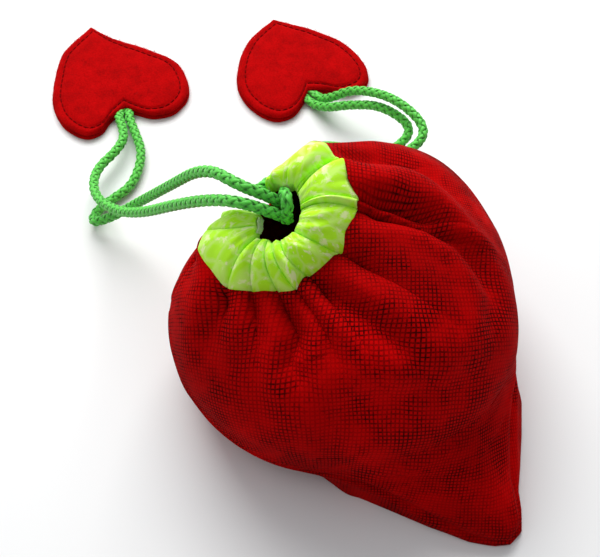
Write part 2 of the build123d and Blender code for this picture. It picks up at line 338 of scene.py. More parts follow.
def braid_green(name, colour_a, colour_b):
    """Glossy green fibre that runs along a strand, with painted shade at the strand's sides where it
    dips between the other strands.
    """
    material, tree, body = shader(name)
    uv = node(tree, "ShaderNodeUVMap", uv_map="cloth").outputs[0]
    stretch = node(tree, "ShaderNodeMapping")
    stretch.inputs["Scale"].default_value = (260.0, 5200.0, 1.0)
    tree.links.new(uv, stretch.inputs["Vector"])
    fibre = node(tree, "ShaderNodeTexNoise", Scale=1.0, Detail=3.0, Roughness=0.6)
    tree.links.new(stretch.outputs[0], fibre.inputs["Vector"])
    colour = ramp(tree, fibre.outputs[0], ((0.3, colour_a), (0.7, colour_b)))
    split = node(tree, "ShaderNodeSeparateXYZ")
    tree.links.new(uv, split.inputs[0])
    # painted shade: the colour darkens away from the strand's outer face, towards the gaps between the
    # strands
    round_it = maths(tree, "MULTIPLY", split.outputs[1], 1000.0)
    from_top = maths(tree, "ABSOLUTE", maths(tree, "SUBTRACT", round_it, 1.0))
    side_shade = maths(tree, "POWER", maths(tree, "MINIMUM", from_top, 1.0), 2.2)
    shade_colour = tuple(0.16 * c for c in colour_a)
    colour = mix(tree, maths(tree, "MULTIPLY", side_shade, 0.85), colour, shade_colour)
    tree.links.new(colour, body.inputs["Base Color"])
    tree.links.new(bump(tree, fibre.outputs[0], 0.4, 0.0001), body.inputs["Normal"])
    body.inputs["Roughness"].default_value = 0.52
    body.inputs["Specular IOR Level"].default_value = 0.4
    body.inputs["Sheen Weight"].default_value = 0.15
    return material


def felt_red():
    """Matt red felt."""
    material, tree, body = shader("red_felt")
    at = node(tree, "ShaderNodeTexCoord").outputs["Object"]
    fibre = node(tree, "ShaderNodeTexNoise", Scale=1500.0, Detail=5.0, Roughness=0.75)
    tree.links.new(at, fibre.inputs["Vector"])
    fluff = node(tree, "ShaderNodeTexNoise", Scale=160.0, Detail=4.0, Roughness=0.6)
    tree.links.new(at, fluff.inputs["Vector"])
    fine = maths(tree, "MULTIPLY", fibre.outputs[0], 0.6)
    both = maths(tree, "ADD", fine, maths(tree, "MULTIPLY", fluff.outputs[0], 0.4))
    reds = ((0.36, (0.26, 0.0005, 0.001)), (0.5, (0.40, 0.0006, 0.001)), (0.66, (0.52, 0.0012, 0.002)))
    colour = ramp(tree, both, reds)
    tree.links.new(colour, body.inputs["Base Color"])
    tree.links.new(bump(tree, both, 0.7, 0.0006), body.inputs["Normal"])
    body.inputs["Roughness"].default_value = 0.95
    body.inputs["Specular IOR Level"].default_value = 0.03
    body.inputs["Sheen Weight"].default_value = 0.02
    body.inputs["Sheen Roughness"].default_value = 0.6
    body.inputs["Sheen Tint"].default_value = (1.0, 0.2, 0.2, 1.0)
    return material


def thread_red():
    """Dark red sewing thread."""
    material, tree, body = shader("red_thread")
    at = node(tree, "ShaderNodeTexCoord").outputs["Object"]
    twist = node(tree, "ShaderNodeTexNoise", Scale=2600.0, Detail=2.0)
    tree.links.new(at, twist.inputs["Vector"])
    reds = ((0.35, (0.10, 0.0005, 0.0008)), (0.65, (0.22, 0.001, 0.0015)))
    colour = ramp(tree, twist.outputs[0], reds)
    tree.links.new(colour, body.inputs["Base Color"])
    body.inputs["Roughness"].default_value = 0.9
    body.inputs["Specular IOR Level"].default_value = 0.05
    return material


RED = red_cotton()
LIME = lime_cotton()
GREEN = braid_green("green_braided_cord", (0.045, 0.48, 0.028), (0.13, 0.72, 0.065))
# the core's much darker green is painted shade, seen in the gaps between the braid's strands
GREEN_CORE_SHADE = braid_green("green_cord_core_shade", (0.008, 0.12, 0.008), (0.02, 0.20, 0.015))
FELT = felt_red()
THREAD = thread_red()


# ------------------------------------------------------------------ cords
# the braid, in mm: length of a strand's turn, radius of its middle, how far it weaves in and out
BRAID_PITCH, BRAID_R, BRAID_WEAVE = 15.0, 1.30, 0.27
STRAND_SIDES, STRAND_W, STRAND_H = 8, 0.86, 0.46
CORE_SIDES, CORE_R = 10, 1.12
# cloth coordinates round a strand, in mm; its outer face lies at 1
STRAND_ROUND, OUTER_FACE = 4.0, 1.0


def set_uv(piece, uv_of_vertex):
    """Cloth coordinates in metres, from one pair for each vertex."""
    mesh = piece.data
    layer = mesh.uv_layers.new(name="cloth")
    index = np.zeros(len(mesh.loops), int)
    mesh.loops.foreach_get("vertex_index", index)
    layer.data.foreach_set("uv", np.asarray(uv_of_vertex, float)[index].ravel())


def braided(name, route):
    """A round braid of eight strands over a core, following the route's spline."""
    points, length = nurbs_path(name + "_line", route)
    tangent, side, up = frames(points)
    s = np.linspace(0, length, len(points))
    turn = 2 * np.pi / BRAID_PITCH
    all_verts, all_faces, all_uv, base = [], [], [], 0
    for hand in (1, -1):
        for k in range(4):
            angle = hand * turn * s + k * np.pi / 2 + 0.3
            radius = BRAID_R + hand * BRAID_WEAVE * np.cos(4 * turn * s)
            out = side * np.cos(angle)[:, None] + up * np.sin(angle)[:, None]
            line = points + out * radius[:, None]
            way = np.gradient(line, axis=0)
            way /= np.linalg.norm(way, axis=1)[:, None]
            across = np.cross(way, out)
            across /= np.linalg.norm(across, axis=1)[:, None]
            verts, faces = tube_grid(line, across, out, STRAND_SIDES, STRAND_W, STRAND_H)
            all_verts.append(verts)
            all_faces.append(faces + base)
            ring = np.tile(np.arange(STRAND_SIDES) / STRAND_SIDES * STRAND_ROUND, len(points))
            all_uv.append(np.stack([np.repeat(s, STRAND_SIDES) * MM, ring * MM], 1))
            base += len(verts)
    core, faces = tube_grid(points, side, up, CORE_SIDES, CORE_R, CORE_R)
    all_verts.append(core)
    core_first = sum(len(f) for f in all_faces)
    all_faces.append(faces + base)
    ring = np.full(CORE_SIDES * len(points), OUTER_FACE)
    all_uv.append(np.stack([np.repeat(s, CORE_SIDES) * MM, ring * MM], 1))
    piece = mesh_object(name, np.vstack(all_verts), np.vstack(all_faces), GREEN)
    # the core takes the darker green: painted shade between the strands
    piece.data.materials.append(GREEN_CORE_SHADE)
    slots = np.zeros(len(piece.data.polygons), int)
    slots[core_first:] = 1
    piece.data.polygons.foreach_set("material_index", slots)
    set_uv(piece, np.vstack(all_uv))
    return piece, points * MM, length * MM


cord_made = {}
for cord_name, cord_route in (
    ("cord_left_upper", LEFT_UPPER),
    ("cord_left_lower", LEFT_LOWER),
    ("cord_right_upper", RIGHT_UPPER),
    ("cord_right_lower", RIGHT_LOWER),
):
    cord_made[cord_name] = braided(cord_name + "_braid", cord_route)
for cord_name, cord_route in (("cord_right_bridge", BRIDGE), ("cord_left_entry", ENTRY)):
    piece, _, _ = braided(cord_name + "_braid", cord_route)
    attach(piece, "pouch")
    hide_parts(cord_name)

# -------------------------------------------------------------- pouch body
# the mouth plane: its middle, its normal and its two axes
MOUTH = np.array((-21.0, 7.0, 78.0))
UP_N = np.array((-0.20, -0.33, 0.92))
UP_N /= np.linalg.norm(UP_N)
AX_U = np.array((0.977, 0.0, 0.2124))
AX_U /= np.linalg.norm(AX_U)
AX_V = np.cross(UP_N, AX_U)
# the collar's seam lies this far below the mouth plane, and further where the collar is open
SEAM_DROP, GAP_DROP = 6.0, 14.0
CENTRE = np.array((0.0, 3.0))
# outline radius every 30 degrees from +X, and the height of the widest level
OUTLINE = (59.5, 63.0, 69.0, 63.0, 52.0, 53.5, 58.0, 58.0, 56.0, 54.0, 57.0, 60.0)
WIDE_Z = 29.0
TOP_Z = 71.0
# outline of the flat empty corner in plan: points picked by eye on the photo, which a scratch
# script turned into mm
TAIL = (
    (-19.0, -46.5), (-3.6, -49.5), (6.2, -52.4), (15.1, -56.3), (28.8, -62.6), (41.9, -67.4),
    (50.1, -69.0), (55.0, -68.6), (58.6, -64.6), (59.0, -57.8), (58.8, -52.8), (60.6, -43.0),
    (62.4, -31.0), (63.6, -20.0), (61.5, -10.0),
)


def smooth(x, a, b):
    """0 below a, 1 above b, and an even S between."""
    t = np.clip((x - a) / (b - a), 0, 1)
    return t * t * (3 - 2 * t)


def bell(x, at, width):
    """1 at a place, falling to nothing on both sides of it."""
    return np.exp(-(((x - at) / width) ** 2))


def through(p0, p1, p2, p3, f):
    """The share f of the way from p1 to p2, on a smooth curve through all four."""
    square = 2 * p0 - 5 * p1 + 4 * p2 - p3
    cube = 3 * p1 - p0 - 3 * p2 + p3
    return 0.5 * (2 * p1 + (p2 - p0) * f + square * f**2 + cube * f**3)


def running_mean(values, reach, closed):
    """Each value's mean with its neighbours, round a closed line or along an open one."""
    if closed:
        before, after = values[-reach:], values[:reach]
    else:
        before, after = np.full(reach, values[0]), np.full(reach, values[-1])
    width = 2 * reach + 1
    return np.convolve(np.r_[before, values, after], np.ones(width) / width, "valid")


def noise1(x, seed, period=None):
    """Smooth one-dimensional noise, repeating round a circle of whole periods."""
    table = np.random.default_rng(seed).uniform(-1, 1, 64)
    i = np.floor(x).astype(int)
    f = x - i
    f = f * f * (3 - 2 * f)
    n = period or 64
    return table[i % n] * (1 - f) + table[(i + 1) % n] * f


def outline_radius(az):
    """The lump's outline radius at an azimuth, smooth and closed."""
    table = np.array(OUTLINE)
    x = (az / (2 * np.pi) * 12) % 12
    i = np.floor(x).astype(int)
    f = x - i
    return through(*(table[(i + k) % 12] for k in (-1, 0, 1, 2)), f)


def tail_reach(az):
    """How far the flat empty corner reaches beyond the lump at an azimuth."""
    fine = []
    for (x0, y0), (x1, y1) in zip(TAIL[:-1], TAIL[1:]):
        for k in range(24):
            fine.append((x0 + (x1 - x0) * k / 24, y0 + (y1 - y0) * k / 24))
    fine = np.array(fine) - CENTRE
    angle = np.arctan2(fine[:, 1], fine[:, 0])
    radius = np.hypot(fine[:, 0], fine[:, 1])
    order = np.argsort(angle)
    wrapped = (az + np.pi) % (2 * np.pi) - np.pi
    reach = np.interp(wrapped, angle[order], radius[order])
    sector = smooth(wrapped, -1.86, -1.50) * (1 - smooth(wrapped, -0.30, -0.05))
    return (reach - outline_radius(az)) * sector, sector


def casing_ring(phi, r, lift):
    """Points of the collar, from the angle, the radius and the height off the mouth plane."""
    flat = np.cos(phi)[..., None] * AX_U + np.sin(phi)[..., None] * AX_V
    return MOUTH + flat * np.asarray(r)[..., None] + UP_N * np.asarray(lift)[..., None]


# the collar's outer edge and the hole's edge, angle in degrees and radius in mm: points picked by
# eye on the photo, which a scratch script turned into mm, and a few then changed by hand
OUTER_EDGE = (
    (6, 24.2), (13, 25.4), (26, 25.3), (42, 29), (48, 27.4), (57, 29.7), (66, 28.7), (73, 25.8),
    (81, 21.2), (91, 18.2), (96, 15.8), (106, 13), (116, 14), (140, 15), (154, 17), (161, 20.2),
    (169, 20.3),
    (176, 25.1), (190, 28.4), (207, 27), (221, 27.3), (227, 26.6), (241, 24.2), (252, 22.6),
    (263, 22.4), (278, 23.2), (287, 19.9), (296, 20.2), (322, 20.4), (327, 22.2), (344, 21.2),
)
HOLE_EDGE = (
    (26, 8.5), (50, 10.5), (59, 11.6), (75, 10), (90, 11), (157, 6.4), (201, 7.4), (217, 9.5),
    (242, 7.6), (250, 8.6), (265, 7.6), (289, 7.4), (317, 7), (357, 7.4),
)
# gathers: each valley's angle at the seam, its angle at the hole, and its depth in mm
VALLEYS = (
    (160, 157, 0.8), (176, 194, 2.4), (224, 219, 3.4), (242, 230, 3.4), (263, 243, 3.6),
    (279, 255, 2.8), (291, 272, 3.4), (326, 314, 3.6), (366, 374, 4.6), (372, 381, 3.4),
    (405, 412, 3.4), (432, 430, 1.6), (459, 452, 2.4), (467, 465, 1.6), (500, 500, 0.8),
)


def edge_radius(table, deg):
    """A radius at an angle, from a closed table."""
    angles, radii = np.array(table, float).T
    return np.interp(deg % 360, angles, radii, period=360)


def gathers(deg, inwards, round_by=0.42):
    """Puffed lobes between the valleys: 0 on a lobe, down to the valley's depth between."""
    at = np.array([v[0] + (v[1] - v[0]) * inwards for v in VALLEYS])
    deep = np.array([v[2] for v in VALLEYS])
    at = np.r_[at, at[0] + 360]
    deep = np.r_[deep, deep[0]]
    x = (deg - at[0]) % 360 + at[0]
    k = np.clip(np.searchsorted(at, x, "right") - 1, 0, len(at) - 2)
    t = (x - at[k]) / (at[k + 1] - at[k])
    depth = deep[k] * (1 - t) + deep[k + 1] * t
    return depth * ((4 * t * (1 - t) + 1e-9) ** round_by - 1)


def gap_share(deg):
    """1 where the collar is open and the left pair comes out, 0 elsewhere."""
    return smooth(deg, 94, 112) * (1 - smooth(deg, 146, 162))


def seam_dip(deg):
    """How much lower the collar's seam runs where the back casing ends."""
    return 3.0 * smooth(deg, 66, 80) * (1 - smooth(deg, 92, 112))


# points round the pouch, and rows above and below its widest level
COLS, UPPER, LOWER = 720, 170, 90
phi = np.linspace(0, 2 * np.pi, COLS, endpoint=False)
wide = outline_radius(phi)
# the plain side's section: share of the outline radius, and height in mm
PLAIN = (
    (1.0, WIDE_Z), (0.985, 19.0), (0.94, 10.0), (0.84, 3.2), (0.68, 0.3), (0.30, 0.0), (0.004, 0.0),
)
# shares of the lower rows where the tail's upper side ends and its underside begins
TAIL_OUT, TAIL_BACK = 0.50, 0.54


def upper_rows():
    """Rows from the collar's seam out over the top to the widest level."""
    degrees = np.degrees(phi)
    steep = gap_share(degrees)
    ring_r = running_mean(edge_radius(OUTER_EDGE, degrees), 6, True)
    ring = casing_ring(phi, ring_r - 0.5, -SEAM_DROP - GAP_DROP * steep - seam_dip(degrees))
    equator = np.stack([CENTRE[0] + wide * np.cos(phi), CENTRE[1] + wide * np.sin(phi)], 1)
    rows = []
    for k in range(UPPER):
        f = np.sin(k / (UPPER - 1) * np.pi / 2)
        xy = ring[:, :2] + (equator - ring[:, :2]) * f
        d = xy - CENTRE
        rho = np.hypot(d[:, 0], d[:, 1]) / outline_radius(np.arctan2(d[:, 1], d[:, 0]))
        z = WIDE_Z + (TOP_Z - WIDE_Z) * (1 - np.clip(rho, 0, 1) ** 2.3) ** (1 / 2.0)
        if k == 0:
            offset = ring[:, 2] - z
        z = z + offset * (1 - f) ** 2.2
        z = z * (1 - steep) + (ring[:, 2] + (WIDE_Z - ring[:, 2]) * f**0.72) * steep
        rows.append(np.concatenate([xy, z[:, None]], 1))
    return rows


def lower_rows():
    """Rows from the widest level down and in under the base, and out over the flat tail."""
    reach, in_tail = tail_reach(phi)
    rows = []
    for k in range(1, LOWER + 1):
        q = k / LOWER
        t = q * (len(PLAIN) - 1)
        i = min(int(t), len(PLAIN) - 2)
        near = [PLAIN[min(max(j, 0), len(PLAIN) - 1)] for j in (i - 1, i, i + 1, i + 2)]
        r_plain, z_plain = (through(*(p[c] for p in near), t - i) for c in (0, 1))
        r_plain = r_plain * wide
        outwards = smooth(q, 0.0, TAIL_OUT)
        inwards = smooth(q, TAIL_BACK, 1.0)
        r_tail = (wide + reach * outwards) * (1 - inwards) + 0.004 * wide * inwards
        drop = np.clip(q / TAIL_OUT, 0, 1)
        swell = 5.4 * np.sin(np.pi * drop) ** 0.8 * (0.6 + 0.4 * drop)
        z_tail = np.maximum(WIDE_Z * (1 - drop) ** 1.5 + swell, 0)
        z_tail = z_tail + 1.6 * (1 - smooth(q, TAIL_OUT, TAIL_OUT + 0.08))
        r = r_plain * (1 - in_tail) + r_tail * in_tail
        z = z_plain * (1 - in_tail) + z_tail * in_tail
        rows.append(np.stack([CENTRE[0] + r * np.cos(phi), CENTRE[1] + r * np.sin(phi), z], 1))
    return rows


body = np.array(upper_rows() + lower_rows())
ROWS = len(body)


def grid_normals(grid):
    """Unit normals of a closed grid, from its rows and columns."""
    du = np.roll(grid, -1, 1) - np.roll(grid, 1, 1)
    dv = np.gradient(grid, axis=0)
    normal = np.cross(dv, du)
    size = np.linalg.norm(normal, axis=2, keepdims=True)
    normal = normal / np.maximum(size, 1e-9)
    return normal


normal = grid_normals(body)
middle = np.array((0.0, 3.0, 34.0))
flip = np.sign(np.sum((body - middle) * normal))
normal = normal * flip
# share of the way from the collar's seam to the widest level, and the angle, at each point
share = np.r_[np.sin(np.linspace(0, 1, UPPER) * np.pi / 2), np.full(LOWER, 1.0)][:, None]
turn = np.repeat(phi[None, :], ROWS, 0)
turn_deg = np.degrees(turn)
lobes = gathers(turn_deg, 0.0, 0.42 + 0.5 * smooth(share, 0.0, 0.35))
fade = 0.6 * bell(share, 0.0, 0.26) + 0.4 * bell(share, 0.0, 0.52)
shift = lobes * (1 - gap_share(turn_deg)) * ((1 + 1.15 * smooth(share, 0.0, 0.16)) * fade)
ripples = noise1(turn / (2 * np.pi) * 15 + 0.6 * share, 5, 15)
shift = shift + 1.3 * bell(share, 0.30, 0.20) * ripples
shift = shift + 1.1 * bell(share, 0.55, 0.28) * noise1(turn / (2 * np.pi) * 9, 11, 9)
shift[UPPER:] *= np.linspace(1, 0, LOWER)[:, None] ** 0.5

# creases and ridges: plan points in mm, depth (ridges are negative), half width
CREASES = (
    (((4, 12), (16, 14), (27, 13), (38, 8), (46, -2)), 3.8, 3.4),
    (((6, 22), (20, 27), (33, 24), (42, 16)), -2.2, 6.0),
    (((-16, -18), (-15, -26), (-17, -34), (-13, -40)), 2.8, 2.8),
    (((-5, -14), (6, -22), (17, -30), (24, -36)), 2.4, 3.2),
    (((-10, -15), (-4, -24), (2, -33)), -1.4, 4.0),
    (((-38, -12), (-42, -20), (-44, -28)), 1.2, 3.5),
    (((-2, -46), (16, -43), (34, -38), (52, -24)), 2.2, 4.0),
    (((-8, 30), (12, 38), (30, 36), (44, 22)), 2.0, 4.0),
    (((44, 6), (48, -8), (46, -22)), 1.8, 3.6),
)


def crease_shift(grid, line, depth, half):
    """A soft valley or ridge along a line drawn on the lump in plan."""
    line = np.array(line, float)
    best = np.full(grid.shape[:2], 1e9)
    place = np.zeros(grid.shape[:2])
    total = len(line) - 1
    for k in range(total):
        a, b = line[k], line[k + 1]
        ab = b - a
        t = np.clip(((grid[..., 0] - a[0]) * ab[0] + (grid[..., 1] - a[1]) * ab[1]) / (ab @ ab), 0, 1)
        d = np.hypot(grid[..., 0] - a[0] - t * ab[0], grid[..., 1] - a[1] - t * ab[1])
        closer = d < best
        best = np.where(closer, d, best)
        place = np.where(closer, (k + t) / total, place)
    taper = np.sin(np.pi * np.clip(0.12 + 0.86 * place, 0, 1)) ** 0.6
    return -depth * taper * (bell(best, 0.0, half) - 0.45 * bell(best, 2.2 * half, 1.2 * half))


# the creases stay on the upper side, above this height
CREASE_Z = 20
top_side = body[..., 2] > CREASE_Z
for line, depth, half in CREASES:
    shift = shift + crease_shift(body, line, depth, half) * top_side
lean = smooth(share, 0.0, 0.16)[..., None]
away = normal * lean + UP_N * (1 - lean)
body = body + away / np.linalg.norm(away, axis=2, keepdims=True) * shift[..., None]
body[..., 2] = np.maximum(body[..., 2], 0.0)

# the seam between front and back lies on two planes, as in the CAD; a groove with raised lips marks it
SLOPE_N = np.array((0.078, -0.327, 0.942))
SLOPE_AT = np.array((0.0, -5.0, 29.0))
GAPS_N = np.array((0.596, -0.803, 0.0))
GAPS_AT = np.array((-40.0, 14.0, 68.0))
below = (body - SLOPE_AT) @ SLOPE_N
behind = (body - GAPS_AT) @ GAPS_N
edge = np.where(behind < 0, 99.0, np.abs(below))
edge = np.minimum(edge, np.where(below > 0, np.abs(behind), 99.0))
normal = grid_normals(body) * flip
groove = 0.9 * bell(edge, 0.0, 1.1) - 0.35 * bell(edge, 2.6, 1.4)
body = body - normal * groove[..., None]
body[..., 2] = np.maximum(body[..., 2], 0.0)


def cloth_uv(points, centre, axis):
    """Cloth coordinates that spread out from a point, with little stretch."""
    a = np.asarray(axis, float)
    a = a / np.linalg.norm(a)
    u = np.cross((0.0, 1.0, 0.0), a)
    u /= np.linalg.norm(u)
    v = np.cross(a, u)
    d = points - centre
    flat_u, flat_v, deep = d @ u, d @ v, d @ a
    rad = np.hypot(flat_u, flat_v) + 1e-9
    arc = np.arctan2(rad, deep + 18.0) * 60.0 + 0.9 * np.maximum(rad - 58.0, 0)
    return np.stack([flat_u / rad * arc, flat_v / rad * arc], 1) * MM


whole = mesh_object("pouch_whole", body.reshape(-1, 3), grid_faces(ROWS, COLS, True), RED)
set_uv(whole, cloth_uv(body.reshape(-1, 3), middle, (0.0, -0.5, 0.86)))


def keep_side(source, name, cuts):
    """A copy of a piece, cut by planes, each (point, normal, keep the normal's side)."""
    piece = source.copy()
    piece.data = source.data.copy()
    piece.name = name
    bpy.context.collection.objects.link(piece)
    bm = bmesh.new()
    bm.from_mesh(piece.data)
    for at, way, outer_side in cuts:
        bmesh.ops.bisect_plane(
            bm, geom=bm.verts[:] + bm.edges[:] + bm.faces[:], dist=1e-7,
            plane_co=Vector(at) * MM, plane_no=Vector(way),
            clear_inner=outer_side, clear_outer=not outer_side,
        )
    bm.to_mesh(piece.data)
    bm.free()
    return piece


# cloth thickness, metres
BODY_CLOTH, CASING_CLOTH, EDGE_CLOTH = 0.0006, 0.0009, 0.0003


def thicken(piece, thickness):
    """Give a cloth its thickness, on the side its face normals point away from."""
    thick = piece.modifiers.new("cloth", "SOLIDIFY")
    thick.thickness = thickness
    thick.offset = -1.0


slope = (SLOPE_AT, SLOPE_N)
gaps = (GAPS_AT, GAPS_N)
front = keep_side(whole, "body_front_cloth", ((*slope, True), (*gaps, True)))
back = keep_side(whole, "body_back_cloth", ((*slope, False),))
strip = keep_side(whole, "body_back_strip", ((*slope, True), (*gaps, False)))
bm = bmesh.new()
bm.from_mesh(back.data)
bm.from_mesh(strip.data)
bmesh.ops.remove_doubles(bm, verts=bm.verts, dist=1e-6)
bm.to_mesh(back.data)
bm.free()
bpy.data.objects.remove(strip)
bpy.data.objects.remove(whole)
for piece, cad in ((front, "body_front_panel"), (back, "body_back_panel")):
    thicken(piece, BODY_CLOTH)
    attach(piece, "pouch")
    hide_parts(cad)

# ------------------------------------------------------------------ collar
# rows of the casing, and the share of them where it turns down into the mouth
CASING_ROWS, ROLL_FROM = 96, 0.78
CASING_PER_DEGREE = 2.6


def collar(name, start, end, cad, puff):
    """The gathered casing: a wide puffed band from the seam to the mouth, rolled inside."""
    cols = int((end - start) * CASING_PER_DEGREE)
    deg = np.linspace(start, end, cols)
    phi = np.radians(deg)
    outer = running_mean(edge_radius(OUTER_EDGE, deg), 3, False)
    hole = edge_radius(HOLE_EDGE, deg)
    low = -SEAM_DROP - seam_dip(deg)
    ends = np.minimum(deg - start, end - deg)
    close = 0.25 + 0.75 * (1 - np.exp(-np.maximum(ends, 0) / 2.4))
    lines = []
    for k in range(CASING_ROWS):
        s = k / (CASING_ROWS - 1)
        q = min(s / ROLL_FROM, 1.0)
        lobe = gathers(deg, q)
        crown = puff * np.sin(np.pi * (q * 0.93)) ** 0.8 * close
        if s < ROLL_FROM:
            r = outer - (outer - hole) * q
            lift = low * (1 - q) ** 1.3 + crown
            depth = 1.0 - 0.25 * q
        else:
            t = (s - ROLL_FROM) / (1 - ROLL_FROM)
            r = hole - 0.9 * np.sin(np.pi * min(t * 1.2, 1.0)) + 2.8 * t**2
            lift = crown - 13.0 * t
            depth = 0.75 * (1 - t)
        crinkle = 0.42 * q**1.5 * noise1(deg / 5.2 + 0.8 * q, 23)
        crinkle = crinkle + 0.35 * np.sin(np.pi * q) * noise1(deg / 9.0 + 3 * q, 29)
        lines.append(casing_ring(phi, r, lift + lobe * depth + crinkle))
    grid = np.array(lines)
    piece = mesh_object(name, grid.reshape(-1, 3), grid_faces(CASING_ROWS, cols, False), LIME)
    along = np.repeat(phi[None, :] * 34.0, CASING_ROWS, 0)
    down = np.repeat((np.arange(CASING_ROWS) * 0.30)[:, None], cols, 1)
    set_uv(piece, np.stack([along, down], -1).reshape(-1, 2) * MM)
    thicken(piece, CASING_CLOTH)
    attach(piece, "pouch")
    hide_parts(*cad)
    return piece


# the cloth stands for the casing and for the runs of cord hidden inside it
FRONT_NODES = ("casing_front", "cord_left_in_front", "cord_right_in_front")
BACK_NODES = ("casing_back", "cord_left_in_back", "cord_right_in_back")
casing_front = collar("casing_front_cloth", 160.0, 407.0, FRONT_NODES, 5.2)
casing_back = collar("casing_back_cloth", 47.0, 106.0, BACK_NODES, 6.4)


EDGE_ROWS = 7


def raw_edge():
    """The casing's raw seam allowance, seen pale just inside the mouth."""
    deg = np.linspace(170.0, 212.0, 60)
    phi = np.radians(deg)
    hole = edge_radius(HOLE_EDGE, deg)
    lines = []
    for k in range(EDGE_ROWS):
        q = k / (EDGE_ROWS - 1)
        fray = 0.25 * noise1(deg / 1.7, 51 + k) * q
        lift = 0.6 - 3.2 * q + 0.4 * noise1(deg / 6.0, 61)
        lines.append(casing_ring(phi, hole - 0.9 - 0.9 * q + fray, lift))
    grid = np.array(lines)
    material, tree, shade = shader("casing_wrong_side_thread_shade")
    uv = node(tree, "ShaderNodeUVMap", uv_map="cloth").outputs[0]
    weave = cloth_weave(tree, uv, 2 * math.pi / EDGE_THREAD)
    # darker between the threads: painted shade of the weave's relief, on the paler wrong side of the
    # cloth
    pale = ramp(tree, weave, ((0.0, (0.50, 0.58, 0.34)), (0.8, (0.80, 0.86, 0.66))))
    tree.links.new(pale, shade.inputs["Base Color"])
    shade.inputs["Roughness"].default_value = 0.9
    quads = grid_faces(EDGE_ROWS, len(deg), False)
    piece = mesh_object("casing_raw_edge", grid.reshape(-1, 3), quads, material)
    along = np.repeat(phi[None, :] * 8.0, EDGE_ROWS, 0)
    down = np.repeat((np.arange(EDGE_ROWS) * 0.5)[:, None], len(deg), 1)
    set_uv(piece, np.stack([along, down], -1).reshape(-1, 2) * MM)
    thicken(piece, EDGE_CLOTH)
    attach(piece, "pouch")


raw_edge()

# ------------------------------------------------------------------ hearts
# outlines in plan, mm: the tip first, the notch halfway
LEFT_HEART = (
    (-108, 171), (-118, 155), (-120, 138), (-119, 124), (-113, 112), (-104, 106),
    (-97.5, 108.5), (-94, 115.5), (-88.5, 122), (-82, 119), (-75, 117.5), (-67, 121),
    (-62.5, 132), (-68, 148), (-84, 158), (-98, 164),
)
RIGHT_HEART = (
    (-26, 176), (-36, 163), (-40.5, 148), (-40, 133), (-34, 122), (-25, 116),
    (-17.5, 118), (-13.2, 124.5), (-10.5, 132), (-3, 132.2), (6, 131), (14, 136),
    (14.5, 146), (6, 160), (-8, 169), (-18, 173),
)
FELT_T = 2.1
# the seam line's distance from the cut edge
STITCH_IN = 3.2
# how far the upper layer domes, from what distance off its edge, and over what distance
FELT_PUFF, PUFF_FROM, PUFF_OVER = 0.9, 3.0, 5.0


def heart_line(points, count=300):
    """A smooth heart outline through its points, with corners at the tip and the notch."""
    p = np.array(points, float)
    p[:, 1] = p[0, 1] - (p[0, 1] - p[:, 1]) * 0.975
    out = []
    for first, last in ((0, 8), (8, 16)):
        run = p[np.arange(first, last + 1) % 16]
        for i in range(len(run) - 1):
            p0 = run[max(i - 1, 0)]
            p3 = run[min(i + 2, len(run) - 1)]
            for f in np.linspace(0, 1, 24, endpoint=False):
                out.append(through(p0, run[i], run[i + 1], p3, f))
    closed = np.array(out + out[:1])
    along = length_along(closed)
    return points_at(closed, along, np.linspace(0, along[-1], count, endpoint=False))


def felt_layer(name, points, mid, upper, body_name, cad, seed):
    """One felt layer: fuzzy cut edge, softly puffed, pressed down along the stitching."""
    line = heart_line(points)
    n = len(line)
    mid = np.array(mid, float)
    wobble = np.random.default_rng(seed).normal(0, 1, n)
    wobble = running_mean(wobble, 3, True)
    spread = 1.0 if upper else 1.012
    line = mid + (line - mid) * (spread + 0.006 * wobble[:, None])
    size = np.linalg.norm(line - mid, axis=1)
    bottom = FELT_T if upper else 0.0
    layers = []
    rings = 40
    for k in range(rings + 1):
        q = k / rings
        xy = mid + (line - mid) * q
        inset = size * (1 - q)
        z = np.full(n, bottom + FELT_T)
        if upper:
            z = z + FELT_PUFF * (1 - np.exp(-np.maximum(inset - PUFF_FROM, 0) / PUFF_OVER))
            z = z - 0.5 * bell(inset, STITCH_IN, 0.8)
        z = z - FELT_T * 0.42 * np.exp(-inset / 0.7)
        layers.append(np.concatenate([xy, z[:, None]], 1))
    for k in range(4):
        q = (k + 1) / 4
        bulge = 1 + 0.35 * np.sin(np.pi * q) / size
        xy = mid + (line - mid) * bulge[:, None]
        z = (bottom + FELT_T * 0.58) * (1 - q) + (bottom + 0.1) * q
        layers.append(np.concatenate([xy, np.full((n, 1), z)], 1))
    for q in (0.97, 0.5, 0.0):
        xy = mid + (line - mid) * q
        layers.append(np.concatenate([xy, np.full((n, 1), bottom + 0.02)], 1))
    grid = np.array(layers)
    piece = mesh_object(name, grid.reshape(-1, 3), grid_faces(len(grid), n, True), FELT)
    bm = bmesh.new()
    bm.from_mesh(piece.data)
    bmesh.ops.remove_doubles(bm, verts=bm.verts, dist=1e-6)
    bmesh.ops.recalc_face_normals(bm, faces=bm.faces)
    bm.to_mesh(piece.data)
    bm.free()
    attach(piece, body_name)
    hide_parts(*cad)
    return piece, line


FIBRES = 5200


